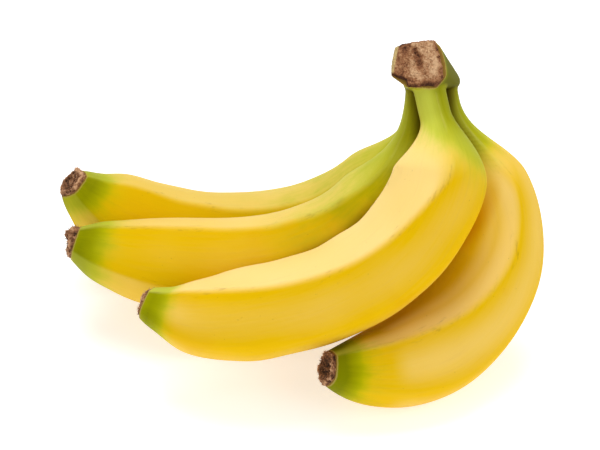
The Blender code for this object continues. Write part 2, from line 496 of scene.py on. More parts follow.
    def dressing(self, distance: Array, angle: Array) -> dict[str, Array]:
        """What the skin's material reads at each place.

        Args:
            distance: Millimetres along the spine.
            angle: Radians round it, from the inner side of its curl.

        Returns:
            Named values: greenness, nearness to a ridge, paleness of the face beyond the ridge path, partly
                painted
            sheen and a painted highlight band, the painted shade of a finger behind, how near the dry end
            is, and the grain, which is a place on the finger laid out straight.
        """
        to_end = self.length - distance
        beyond = np.degrees(np.angle(np.exp(1j * (angle - self.ridge_angle(distance)))))
        at_neck = fall(distance, *self.neck_edge_span)
        edge = self.pale_edge + (self.pale_edge_at_neck - self.pale_edge) * at_neck
        span, fade = self.pale_reach
        # The face beyond the ridge path is paler: partly the peel's own paler side, partly painted sheen
        # from the light above
        face = self.paleness_and_sheen * rise(beyond, -0.42 * edge, edge) * fall(beyond, span + fade, fade)
        # A painted highlight band along the middle of each face, brighter near the tip
        mid_face = 0.5 - 0.5 * np.cos(FACES * np.radians(beyond))
        highlight_band = self.highlight_band * mid_face * fall(beyond, *self.highlight_span)
        highlight_band = highlight_band * rise(to_end, self.highlight_start, self.highlight_rise)
        peak, spread, gain = self.highlight_peak
        place, strength = self.shoulder_pale_and_sheen
        low = self.low_paleness * fall(beyond, self.low_face[1], self.low_fades[1])
        low = low * rise(beyond, self.low_face[0], self.low_fades[0])
        pale_and_sheen = reduce(np.maximum, [
            face, highlight_band * (1.0 + gain * bell(to_end, peak, spread)), low * fall(to_end, *self.low_span),
            strength * bell(distance, place, self.shoulder_spread),
            self.neck_pale_and_sheen * fall(distance, *self.neck_pale_span)])
        grain = np.stack([
            self.grain_radius * np.cos(angle) + self.grain_shift * self.seed,
            self.grain_radius * np.sin(angle), distance * np.ones_like(angle)], axis=-1)
        return {
            "green": self.greenness(distance, angle),
            "ridge": self.ridge_share(distance, angle),
            "pale_and_sheen": pale_and_sheen,
            "shade_behind_share": self.shade_behind * np.ones_like(pale_and_sheen),
            "to_end": np.minimum(to_end, self.end_reach) * np.ones_like(angle),
            "grain": grain,
        }


FINGERS: tuple[Finger, ...] = (
    Finger("front", root=(-0.5, -9.0, 8.5), lean_right=15, lean_forward=45, curl_toward=166,
           length=171.2, flare=10, bend=110, bend_start=14, front_load=2.2, tip_lift=25.1,
           radius=17.65, neck_length=12.5, shoulder_length=24.6, taper_length=49,
           ridge_path=((30, 244), (55, 271), (90, 284), (125, 292), (165, 308)),
           neck_green=((0, 0.72), (12, 0.64), (19, 0.52), (26, 0.24), (34, 0.08), (48, 0)),
           tip_green=((0, 0.62), (3.5, 0.76), (7, 0.57), (11, 0.27), (16, 0.07), (24, 0)),
           green_lean=9.0, paleness_and_sheen=1.0, highlight_band=0.18, neck_pale_and_sheen=0.07, seed=1, pinch=0.9, neck_radius=5.96,
           shoulder_pale_and_sheen=(26.0, 0.5)),
    Finger("right", root=(5.5, -1.0, -0.5), lean_right=12.8, lean_forward=29, curl_toward=208.95,
           length=157.8, flare=19, bend=126, bend_start=42, front_load=1.45, tip_lift=2.8,
           radius=19.1, neck_length=4.4, shoulder_length=40, taper_length=51,
           ridge_path=((30, 250), (60, 271), (85, 290), (112, 304), (155, 315)),
           neck_green=((0, 0.74), (14, 0.62), (22, 0.44), (28, 0.22), (36, 0.08), (50, 0)),
           tip_green=((0, 0.98), (3, 0.98), (6, 0.66), (9.5, 0.36), (13, 0.22), (18, 0.14),
                      (24, 0.08), (34, 0)),
           green_lean=0.0, paleness_and_sheen=0.66, pale_reach=(8.0, 30.0), highlight_band=0.36, highlight_start=19.0, seed=2,
           shoulder_pale_and_sheen=(32.0, 0.42), open_at=32.0, neck_radius=5.9, pinch=0.7, pinch_at=20.0,
           pinch_spread=14.7, collar=7.6),
    Finger("middle", root=(-2.5, 1.0, -2.0), lean_right=-5, lean_forward=22.5, curl_toward=174,
           length=176.8, flare=9, bend=103, bend_start=11, front_load=2.235, tip_lift=8,
           radius=19.15, neck_length=3.5, shoulder_length=52.5, taper_length=65.8, tip_bluntness=2.9,
           ridge_path=((45, 311), (88, 325), (170, 332)),
           neck_green=((0, 0.74), (15, 0.56), (30, 0.4), (50, 0.31), (75, 0.2), (100, 0.08), (130, 0)),
           tip_green=((0, 0.78), (3, 0.82), (6.5, 0.7), (10, 0.48), (14, 0.3), (19, 0.15), (30, 0)),
           green_lean=-4.0, paleness_and_sheen=0.72, highlight_band=0.07, seed=3, shoulder_pale_and_sheen=(26.0, 0.45),
           open_at=36.0, neck_radius=5.8, low_paleness=0.35, shade_behind=0.4, pinch=-0.6,
           ridge_sharpness=(1.0, 0.8, 0.6, 0.6, 0.7)),
    Finger("back", root=(0.0, 10.0, -7.0), lean_right=-8, lean_forward=-4.5, curl_toward=179.5,
           length=191.7, flare=2, bend=114.3, bend_start=17, front_load=1.5, tip_lift=21.8,
           radius=17.8, neck_length=15, shoulder_length=42.5, taper_length=34.5,
           ridge_path=((60, 338), (105, 343), (140, 350), (190, 355)),
           neck_green=((0, 0.72), (15, 0.52), (35, 0.34), (60, 0.27), (85, 0.2), (115, 0.1), (145, 0)),
           tip_green=((0, 0.78), (4, 0.76), (8, 0.46), (12, 0.25), (17, 0.12), (23, 0.05), (30, 0)),
           green_lean=-4.0, paleness_and_sheen=0.68, highlight_band=0.0, seed=4, low_paleness=0.3, shade_behind=0.9, pinch=1.3,
           pinch_at=9.0, pinch_spread=7.0, ripe_side=242.0, ripe_share=0.45,
           ridge_sharpness=(0.85, 0.7, 0.6, 0.65, 0.7)),
)


# Material trees


class Signal:
    """An output socket of a material's tree. Arithmetic on it adds Math nodes."""

    def __init__(self, tree: NodeTree, socket: bpy.types.NodeSocket) -> None:
        """Hold the socket and the tree that it belongs to."""
        self.tree = tree
        self.socket = socket

    def __add__(self, other: Signal | float) -> Signal:
        """This plus other."""
        return self.tree.math("ADD", self, other)

    __radd__ = __add__

    def __sub__(self, other: Signal | float) -> Signal:
        """This minus other."""
        return self.tree.math("SUBTRACT", self, other)

    def __rsub__(self, other: Signal | float) -> Signal:
        """Other minus this."""
        return self.tree.math("SUBTRACT", other, self)

    def __mul__(self, other: Signal | float) -> Signal:
        """This times other."""
        return self.tree.math("MULTIPLY", self, other)

    __rmul__ = __mul__

    def clipped(self) -> Signal:
        """This, kept from 0 to 1."""
        return self.tree.add("ShaderNodeClamp", {}, {"Value": self, "Min": 0.0, "Max": 1.0})


class NodeTree:
    """A node tree and the nodes that are added to it."""

    def __init__(self, tree: bpy.types.NodeTree) -> None:
        """Hold the tree."""
        self.tree = tree

    def add(
        self, kind: str, settings: Mapping[str, Any] | None = None,
        inputs: Mapping[str | int, Any] | None = None, output: str | int = 0,
    ) -> Signal:
        """Add a node.

        Args:
            kind: The node's type.
            settings: Its own settings, set first. Stops are a colour ramp's places and colours.
            inputs: Values or signals for its sockets, by name or number.
            output: Which of its outputs to hand back.

        Returns:
            The chosen output.
        """
        node = self.tree.nodes.new(kind)
        for key, value in (settings or {}).items():
            if key == "stops":
                self._set_stops(node, value)
            else:
                setattr(node, key, value)
        for key, value in (inputs or {}).items():
            self._feed(node.inputs[key], value)
        return Signal(self, node.outputs[output])

    def _feed(self, socket: bpy.types.NodeSocket, value: Any) -> None:
        """Link a signal to a socket, or set the socket's own value."""
        if isinstance(value, Signal):
            self.tree.links.new(value.socket, socket)
        elif isinstance(value, tuple) and socket.type == "RGBA":
            socket.default_value = (*value[:3], 1.0)
        else:
            socket.default_value = value

    @staticmethod
    def _set_stops(node: bpy.types.Node, stops: Sequence[tuple[float, Color]]) -> None:
        """Give a colour ramp its places and colours.

        Args:
            node: The ramp.
            stops: Places from 0 to 1, each with its colour.
        """
        elements = node.color_ramp.elements
        while len(elements) < len(stops):
            elements.new(1.0)
        for element, (place, color) in zip(elements, stops):
            element.position = place
            element.color = (*color, 1.0)

    def math(self, operation: str, *values: Signal | float) -> Signal:
        """A Math node on signals and numbers."""
        return self.add("ShaderNodeMath", {"operation": operation}, dict(enumerate(values)))


class ShaderTree(NodeTree):
    """A new material and the nodes that are added to it."""

    def __init__(self, name: str) -> None:
        """Start an empty material tree with an output.

        Args:
            name: The material's name.
        """
        self.material = bpy.data.materials.new(name)
        self.material.use_nodes = True
        super().__init__(self.material.node_tree)
        self.tree.nodes.clear()
        self.end = self.tree.nodes.new("ShaderNodeOutputMaterial")

    def carried(self, name: str, output: str = "Fac") -> Signal:
        """What the mesh carries at each vertex: a number, or a vector by the Vector output."""
        return self.add("ShaderNodeAttribute", {"attribute_name": name}, output=output)

    def place(self) -> Signal:
        """The place on the piece, in metres."""
        return self.add("ShaderNodeTexCoord", output="Object")

    def scaled(self, vector: Signal, scale: tuple[float, float, float]) -> Signal:
        """A vector, with each part of it multiplied."""
        return self.add("ShaderNodeVectorMath", {"operation": "MULTIPLY"}, {0: vector, 1: scale})

    def noise(self, vector: Signal, scale: float, detail: float = 3.0, roughness: float = 0.55) -> Signal:
        """Soft random values from 0 to 1.

        Args:
            vector: Where to read the pattern.
            scale: How many cells to a unit of the vector.
            detail: How many times finer noise is added.
            roughness: How strong the finer noise is.

        Returns:
            The values.
        """
        return self.add("ShaderNodeTexNoise", {}, {
            "Vector": vector, "Scale": scale, "Detail": detail, "Roughness": roughness}, "Fac")

    def between(self, value: Signal, low: float, high: float) -> Signal:
        """A smooth step from 0 at low to 1 at high, which may be the lower number."""
        return self.add("ShaderNodeMapRange", {"interpolation_type": "SMOOTHSTEP"}, {
            "Value": value, "From Min": low, "From Max": high, "To Min": 0.0, "To Max": 1.0})

    def mixed(
        self, first: Signal | Color, second: Signal | Color, share: Signal | float, blend: str = "MIX"
    ) -> Signal:
        """A colour between two, the second where the share is 1."""
        settings = {"data_type": "RGBA", "blend_type": blend}
        return self.add("ShaderNodeMix", settings, {0: share, 6: first, 7: second}, 2)

    def multiplied(self, first: Signal | Color, second: Signal | Color, share: Signal | float) -> Signal:
        """A colour multiplied by another where the share is 1."""
        return self.mixed(first, second, share, "MULTIPLY")

    def ramp(self, value: Signal, stops: Sequence[tuple[float, Color]]) -> Signal:
        """A colour looked up from a value."""
        return self.add("ShaderNodeValToRGB", {"stops": stops}, {"Fac": value})

    def bump(self, height: Signal, depth: float, strength: float, normal: Signal | None = None) -> Signal:
        """A normal bent by a height.

        Args:
            height: The height, from 0 to 1.
            depth: How many metres a height of 1 stands for.
            strength: How much of it shows.
            normal: The normal to bend, for a second layer of bumps.

        Returns:
            The bent normal.
        """
        inputs: dict[str | int, Any] = {"Height": height, "Distance": depth, "Strength": strength}
        if normal is not None:
            inputs["Normal"] = normal
        return self.add("ShaderNodeBump", {}, inputs)

    def finish(self, **values: Any) -> bpy.types.Material:
        """Close the tree with a Principled shader.

        Args:
            **values: The shader's sockets, with _ for each space in a name.

        Returns:
            The material.
        """
        named = {key.replace("_", " "): value for key, value in values.items()}
        shader = self.add("ShaderNodeBsdfPrincipled", {}, named)
        self.tree.links.new(shader.socket, self.end.inputs["Surface"])
        return self.material


class PeelTree(ShaderTree):
    """A peel's material tree, with the patterns that its colours and its relief share."""

    def __init__(self, name: str) -> None:
        """Read what the mesh carries, and lay out the patterns, from broad clouds to fine pores.

        Args:
            name: The material's name.
        """
        super().__init__(name)
        spot, self.grain = self.place(), self.carried("grain", "Vector")
        # The painted crease shade, and the paleness with its painted sheen, as the mesh carries them
        self.ridge, self.crease = self.carried("ridge"), self.carried("crease")
        self.pale_and_sheen, self.green = self.carried("pale_and_sheen"), self.carried("green")
        self.held = self.between(self.green, 0.02, 0.2)
        self.cloud, self.broad = self.noise(spot, 42.0, 3.0), self.noise(spot, 17.0, 2.0)
        self.pores = self.noise(spot, 2600.0, 2.0)
        self.streak = self.along((0.8, 0.8, 0.04), 4.0, 0.6)
        self.blotch = self.along((0.11, 0.11, 0.07), 4.0, 0.6)
        scuff = self.between(self.along((0.6, 0.6, 0.14), 5.0, 0.7) + (self.ridge - 1.0) * 0.55, 0.49, 0.66)
        self.worn = scuff * self.between(self.blotch, 0.42, 0.62)
        self.speck = self.between(self.along((1.1, 1.1, 0.6), 2.0, 0.5), 0.73, 0.80)

    def along(self, cells: tuple[float, float, float], detail: float, roughness: float) -> Signal:
        """Soft random values on a finger laid out straight.

        Args:
            cells: How many cells to a millimetre, twice across the finger and once along it.
            detail: How many times finer noise is added.
            roughness: How strong the finer noise is.

        Returns:
            The values, from 0 to 1.
        """
        return self.noise(self.scaled(self.grain, cells), 1.0, detail, roughness)


class ScatterTree(NodeTree):
    """A geometry tree that scatters small curved fibres over a mesh and hands back the fibres alone.

    Sizes are in metres and turns in radians. Density is in fibres to a square metre.
    """

    SIZES = {"Density": 1.0e6, "Length": 0.001, "Thickness": 0.0001, "Bend": 0.4}
    GROWTH = (0.45, 1.25)
    LEAN, SPIN = 1.2, 3.1
    TAPER = 0.3

    def __init__(self, name: str, seed: int, material: bpy.types.Material) -> None:
        """Build the tree, with its named inputs.

        Args:
            name: The tree's name.
            seed: Which scatter.
            material: What the fibres are made of.
        """
        super().__init__(bpy.data.node_groups.new(name, "GeometryNodeTree"))
        face = self.tree.interface
        face.new_socket("Geometry", in_out="INPUT", socket_type="NodeSocketGeometry")
        self.keys = {
            key: face.new_socket(key, in_out="INPUT", socket_type="NodeSocketFloat").identifier
            for key in self.SIZES
        }
        face.new_socket("Geometry", in_out="OUTPUT", socket_type="NodeSocketGeometry")
        entry = self.tree.nodes.new("NodeGroupInput")
        ground, density, length, thickness, bend = (Signal(self, entry.outputs[i]) for i in range(5))
        fuzz = self.add(
            "GeometryNodeInputNamedAttribute", {"data_type": "FLOAT"}, {"Name": "fuzz"}, "Attribute")
        places = self.add("GeometryNodeDistributePointsOnFaces", {"distribute_method": "RANDOM"}, {
            "Mesh": ground, "Density": density * fuzz, "Seed": seed})
        turned = Signal(self, places.socket.node.outputs["Rotation"])
        fibre = self.add("GeometryNodeMeshCone", {"fill_type": "NGON"}, {
            "Vertices": 3, "Side Segments": 4, "Depth": length,
            "Radius Top": thickness * self.TAPER, "Radius Bottom": thickness})
        place = self.add("GeometryNodeInputPosition")
        high = self.add("ShaderNodeSeparateXYZ", {}, {0: place}, "Z")
        aside = self.add("ShaderNodeCombineXYZ", {}, {"X": high * high * bend * (1.0 / MM)})
        fibre = self.add("GeometryNodeSetPosition", {}, {"Geometry": fibre, "Offset": aside})
        grown = self.add("FunctionNodeRandomValue", {"data_type": "FLOAT"}, {
            "Min": self.GROWTH[0], "Max": self.GROWTH[1], "Seed": seed + 1}, 1)
        made = self.add("GeometryNodeInstanceOnPoints", {}, {
            "Points": places, "Instance": fibre, "Rotation": turned, "Scale": grown})
        leaning = self.add("FunctionNodeRandomValue", {"data_type": "FLOAT_VECTOR"}, {
            "Min": (-self.LEAN, -self.LEAN, -self.SPIN), "Max": (self.LEAN, self.LEAN, self.SPIN),
            "Seed": seed + 2}, 0)
        made = self.add("GeometryNodeRotateInstances", {}, {"Instances": made, "Rotation": leaning})
        made = self.add("GeometryNodeRealizeInstances", {}, {"Geometry": made})
        made = self.add("GeometryNodeSetMaterial", {}, {"Geometry": made, "Material": material})
        self.tree.links.new(made.socket, self.tree.nodes.new("NodeGroupOutput").inputs[0])

    def scatter(self, name: str, ground: bpy.types.Object, sizes: Mapping[str, float]) -> bpy.types.Object:
        """Run the tree over a mesh.

        Args:
            name: The new object's name.
            ground: What the fibres stand on.
            sizes: Values for the tree's named inputs.

        Returns:
            A plain object with the fibres.
        """
        made = placed(name, ground.data.copy())
        modifier = made.modifiers.new("scatter", "NODES")
        modifier.node_group = self.tree
        for key, value in {**self.SIZES, **sizes}.items():
            modifier[self.keys[key]] = value
        graph = bpy.context.evaluated_depsgraph_get()
        plain = bpy.data.meshes.new_from_object(made.evaluated_get(graph), depsgraph=graph)
        made.modifiers.clear()
        made.data = plain
        return made


@dataclass(frozen=True)
class SkinFinish:
    """Ripe banana peel: golden sides, paler inner faces with painted sheen, green ends, faint streaks,
    scuffs and specks.
    """

    gold: Color = srgb(228, 183, 3)
    # The pale colour: the peel's own paler faces, and the painted sheen and highlights on them
    pale_and_sheen: Color = srgb(252, 221, 146)
    amber: Color = srgb(218, 158, 0)
    yellow_green: Color = srgb(216, 190, 4)
    olive: Color = srgb(184, 177, 2)
    green: Color = srgb(152, 152, 0)
    deep_green: Color = srgb(122, 125, 0)
    lime: Color = srgb(208, 214, 86)
    # Painted shade in the creases, on yellow skin and on green skin
    shade: Color = srgb(219, 178, 10)
    green_shade: Color = srgb(104, 108, 6)
    # Painted shade on the fingers behind
    shade_behind_color: Color = srgb(240, 241, 215)
    # A painted highlight along the ridges of the green parts
    highlight_line: Color = srgb(222, 214, 122)
    cork: Color = srgb(190, 160, 92)
    brown: Color = srgb(122, 84, 34)
    streaked: Color = srgb(236, 226, 205)
    roughness: float = 0.52
    specular: float = 0.02
    flesh_glow: float = 0.06
    flesh_depth: float = 0.0022

    def build(self) -> bpy.types.Material:
        """Make the material.

        Returns:
            The finished material.
        """
        tree = PeelTree("banana_peel")
        color = self.shaded(tree, self.aged(tree, self.grown(tree)))
        return tree.finish(
            Base_Color=color, Normal=self.relief(tree),
            Roughness=self.roughness + (tree.cloud - 0.5) * 0.1 + tree.worn * 0.2,
            Subsurface_Weight=self.flesh_glow, Subsurface_Radius=(1.0, 0.55, 0.12),
            Subsurface_Scale=self.flesh_depth, Specular_IOR_Level=self.specular)

    def ripe(self, tree: PeelTree) -> Signal:
        """The golden sides and the paler faces of a ripe finger, partly painted sheen, held back in the
        painted crease shade.

        Args:
            tree: The peel's tree.

        Returns:
            The ripe colour.
        """
        uneven = (tree.broad - 0.48) * 0.2 + (tree.streak - 0.5) * 0.15
        paleness_and_sheen = (tree.pale_and_sheen * (0.85 + (tree.broad - 0.5) * 0.7) + uneven).clipped()
        color = tree.mixed(self.gold, self.pale_and_sheen, paleness_and_sheen * (1.0 - tree.crease * 0.9))
        return tree.mixed(color, self.amber, tree.between(tree.cloud - tree.pale_and_sheen * 0.3, 0.52, 0.9) * 0.4)

    def grown(self, tree: PeelTree) -> Signal:
        """The ripe colour, turning green in blotches towards the neck and the tip, with a painted highlight
        on green ridges.

        Args:
            tree: The peel's tree.

        Returns:
            The colour of a fresh peel.
        """
        uneven = (tree.blotch - 0.5) * 0.34 + (tree.cloud - 0.5) * 0.12 + (tree.streak - 0.5) * 0.10
        green = tree.green + uneven * tree.held
        unripe = tree.ramp(green, (
            (0.05, self.yellow_green), (0.3, self.olive), (0.6, self.green), (0.92, self.deep_green)))
        unripe = tree.mixed(unripe, self.lime, tree.pale_and_sheen * 0.62)
        color = tree.mixed(self.ripe(tree), unripe, tree.between(green, 0.02, 0.46))
        color = tree.multiplied(color, self.streaked, tree.between(tree.streak, 0.5, 0.8) * 0.25)
        # A painted highlight along the ridges where the skin is still green
        ridge_highlight = tree.between(tree.ridge, 0.93, 0.998) * tree.between(tree.blotch, 0.36, 0.66) * tree.held
        return tree.mixed(color, self.highlight_line, ridge_highlight * 0.16)

    def aged(self, tree: PeelTree, color: Signal) -> Signal:
        """The marks of age: worn ridges, specks and a dry torn edge.

        Args:
            tree: The peel's tree.
            color: The colour of a fresh peel.

        Returns:
            The marked colour.
        """
        color = tree.mixed(color, self.brown, tree.worn * 0.3)
        color = tree.mixed(color, self.brown, tree.speck * 0.4)
        torn = tree.carried("to_end") + (tree.streak - 0.5) * 0.8
        color = tree.mixed(color, self.cork, tree.between(torn, 0.85, 0.35) * 0.6)
        return tree.mixed(color, self.brown, tree.between(torn, 0.4, 0.05) * 0.8)

    def shaded(self, tree: PeelTree, color: Signal) -> Signal:
        """Painted shade: darker in the creases between the fingers, and on the fingers behind.

        Args:
            tree: The peel's tree.
            color: The marked colour.

        Returns:
            The colour as it is seen.
        """
        color = tree.multiplied(color, self.shade, tree.crease)
        color = tree.multiplied(color, self.green_shade, tree.crease * tree.held)
        return tree.multiplied(color, self.shade_behind_color, tree.carried("shade_behind_share"))

    def relief(self, tree: PeelTree) -> Signal:
        """Fine streaks, pores and spots.

        Args:
            tree: The peel's tree.

        Returns:
            The skin's bent normal.
        """
        normal = tree.bump(tree.streak, 0.00018, 0.4)
        normal = tree.bump(tree.pores, 0.00003, 0.35, normal)
        return tree.bump(tree.worn + tree.speck, 0.0001, 0.5, normal)


@dataclass(frozen=True)
class CutFinish:
    """The dry cut of the crown: tan fibres, reddish-brown mottling, a dark hollow and a cream rind."""

    rind: Color = srgb(216, 190, 128)
    dark: Color = srgb(74, 42, 28)
    red_brown: Color = srgb(138, 88, 56)
    brown: Color = srgb(176, 126, 86)
    tan: Color = srgb(222, 182, 140)

    def build(self) -> bpy.types.Material:
        """Make the material.

        Returns:
            The finished material.
        """
        tree = ShaderTree("dry_crown_cut")
        place = tree.place()
        bent = tree.noise(place, 300.0, 2.0)
        fibre = tree.add("ShaderNodeTexNoise", {}, {
            "Vector": place, "Scale": 1000.0, "Detail": 4.0, "Roughness": 0.7, "Distortion": 1.6}, "Fac")
        mottle = tree.noise(place, 640.0, 4.0, 0.7)
        tone = tree.carried("tone") + (mottle - 0.5) * 0.9 + (fibre - 0.5) * 1.0 + (bent - 0.5) * 0.3
        color = tree.ramp(tone, (
            (0.06, self.dark), (0.34, self.red_brown), (0.6, self.brown), (0.92, self.tan)))
        color = tree.mixed(color, self.rind, tree.carried("rind") * (0.5 + mottle * 0.6))
        relief = tree.bump(fibre, 0.0005, 0.9)
        relief = tree.bump(mottle, 0.0008, 0.7, relief)
        return tree.finish(Base_Color=color, Roughness=0.82 + (fibre - 0.5) * 0.2, Normal=relief,
                           Specular_IOR_Level=0.2)


@dataclass(frozen=True)
class HuskFinish:
    """The dry blossom end: dark brown crumpled husk with paler torn edges."""

    dark: Color = srgb(64, 38, 20)
    brown: Color = srgb(140, 92, 58)
    light: Color = srgb(208, 162, 122)

    def build(self) -> bpy.types.Material:
        """Make the material.

        Returns:
            The finished material.
        """
        tree = ShaderTree("dry_blossom_husk")
        place = tree.place()
        fine = tree.noise(place, 1500.0, 4.0, 0.65)
        lump = tree.noise(place, 420.0, 3.0, 0.6)
        tone = tree.carried("tone") + (fine - 0.5) * 0.8 + (lump - 0.5) * 0.5
        color = tree.ramp(tone, ((0.1, self.dark), (0.5, self.brown), (0.95, self.light)))
        relief = tree.bump(fine, 0.0004, 0.8)
        return tree.finish(Base_Color=color, Roughness=0.8 + (lump - 0.5) * 0.2, Normal=relief,
                           Specular_IOR_Level=0.3)


@dataclass(frozen=True)
class FloorFinish:
    """A plain matte white table that glows, which lifts its shadows and lights the hand from below."""

    color: Color = (0.78, 0.78, 0.78)
    glow: float = 0.52

    def build(self) -> bpy.types.Material:
        """Make the material.

        Returns:
            The finished material.
        """
        return ShaderTree("white_table").finish(
            Base_Color=self.color, Roughness=0.9, Specular_IOR_Level=0.1,
            Emission_Color=(1.0, 1.0, 1.0), Emission_Strength=self.glow)


@dataclass
class Wardrobe:
    """The finished materials, made once."""

    skin: bpy.types.Material = field(default_factory=lambda: SkinFinish().build())
    cut: bpy.types.Material = field(default_factory=lambda: CutFinish().build())
    husk: bpy.types.Material = field(default_factory=lambda: HuskFinish().build())
    floor: bpy.types.Material = field(default_factory=lambda: FloorFinish().build())


def dress(piece: bpy.types.Object, material: bpy.types.Material, node: str) -> None:
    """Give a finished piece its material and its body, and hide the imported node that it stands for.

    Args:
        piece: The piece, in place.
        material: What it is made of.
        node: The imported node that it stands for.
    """
    piece.data.materials.clear()
    piece.data.materials.append(material)
    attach(piece, Body.HAND.value)
    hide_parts(node)
    triangles = sum(len(face.vertices) - 2 for face in piece.data.polygons)
    LOG.info("%s: %d triangles for %s", piece.name, triangles, node)


# The pieces


def nearest_on(spine: Spine, points: Array) -> Array:
    """The number of the spine's point that is nearest to each of many places.

    Args:
        spine: The spine.
        points: Rows of places, taken a batch at a time.

    Returns:
        One number a row.
    """
    square = (spine.points ** 2).sum(axis=1)
    batches = np.split(points, range(BATCH, len(points), BATCH))
    return np.concatenate([(square - 2.0 * some @ spine.points.T).argmin(axis=1) for some in batches])


def gap_to(finger: Finger, points: Array) -> Array:
    """How far places lie from the mean round of a finger.

    Args:
        finger: Which finger.
        points: Rows of places.

    Returns:
        Millimetres, one a row.
    """
    spine = finger.spine(np.arange(8.0, finger.length, 1.5))
    nearest = nearest_on(spine, points)
    radius = finger.mean_radius(spine.distance)[nearest]
    return np.linalg.norm(points - spine.points[nearest], axis=1) - radius


def crease_shade_of(gap: Array) -> Array:
    """How much painted shade a place gets in the crease beside a neighbour: 1 against it, 0 well away."""
    return fall(gap, CREASE_SHADE_REACH, CREASE_SHADE_FADE)


def with_pole(values: Array) -> Array:
    """Rings of values in one row, with the last ring's mean behind them for the pole that closes it."""
    return np.concatenate([values.reshape(-1, *values.shape[2:]), values[-1:].mean(axis=1)])


@dataclass
class FingerSkin:
    """The peel of one finger, from inside the crown to the ring that carries its blossom end."""

    finger: Finger
    rings: int = 290
    sides: int = 150
    start: float = 9.0
    crowding: float = 0.3
    press: float = 0.25
    press_height: float = 3.0
    # Where the painted crease shade lightens on the open shoulder, and where it fades out towards the tip
    opening: tuple[float, float] = (12.0, 0.8)
    crease_shade_span: tuple[float, float] = (44.0, 56.0)

    def build(self) -> bpy.types.Object:
        """Make the peel's mesh.

        Returns:
            The peel, in place.
        """
        share = np.linspace(0.0, 1.0, self.rings)
        share = share - self.crowding * np.sin(2.0 * math.pi * share) / (2.0 * math.pi)
        distance = self.start + (self.finger.length - self.start) * share
        spine = self.finger.spine(distance)
        at, round_it = distance[:, None], full_turn(self.sides)[None, :]
        radius = self.finger.radius_at(at, round_it)[..., None]
        outward = (np.cos(round_it)[..., None] * spine.inward[:, None]
                   + np.sin(round_it)[..., None] * spine.across[:, None])
        points = spine.points[:, None] + radius * outward
        points[..., 2] = self.pressed(points[..., 2])
        dressing = self.finger.dressing(at, np.broadcast_to(round_it, radius.shape[:2]))
        values = {key: with_pole(value) for key, value in dressing.items()}
        points = np.concatenate([points.reshape(-1, 3), spine.points[-1:]])
        gap = np.min([gap_to(other, points) for other in FINGERS if other is not self.finger], axis=0)
        run = np.append(distance.repeat(self.sides), self.finger.length)
        spread, light = self.opening
        end, fade = self.crease_shade_span
        # Painted shade in the creases beside the other fingers, lighter on the open shoulder, gone towards
        # the tip
        lit = 1.0 - light * bell(run, self.finger.open_at, spread)
        values["crease"] = crease_shade_of(gap) * lit * fall(run, self.finger.length - end, fade)
        faces = ring_faces(self.rings, self.sides)
        return mesh_object(f"skin_{self.finger.name}", points, faces, values)

    def pressed(self, height: Array) -> Array:
        """Flatten on the table what would sink into it.

        Args:
            height: Millimetres above the crown's heart.

        Returns:
            The heights that the table leaves.
        """
        over = height + HEART[2]
        eased = 0.5 * (over + np.sqrt(over * over + self.press * self.press))
        return np.maximum(np.where(over < self.press_height, eased, over), 0.0) - HEART[2]


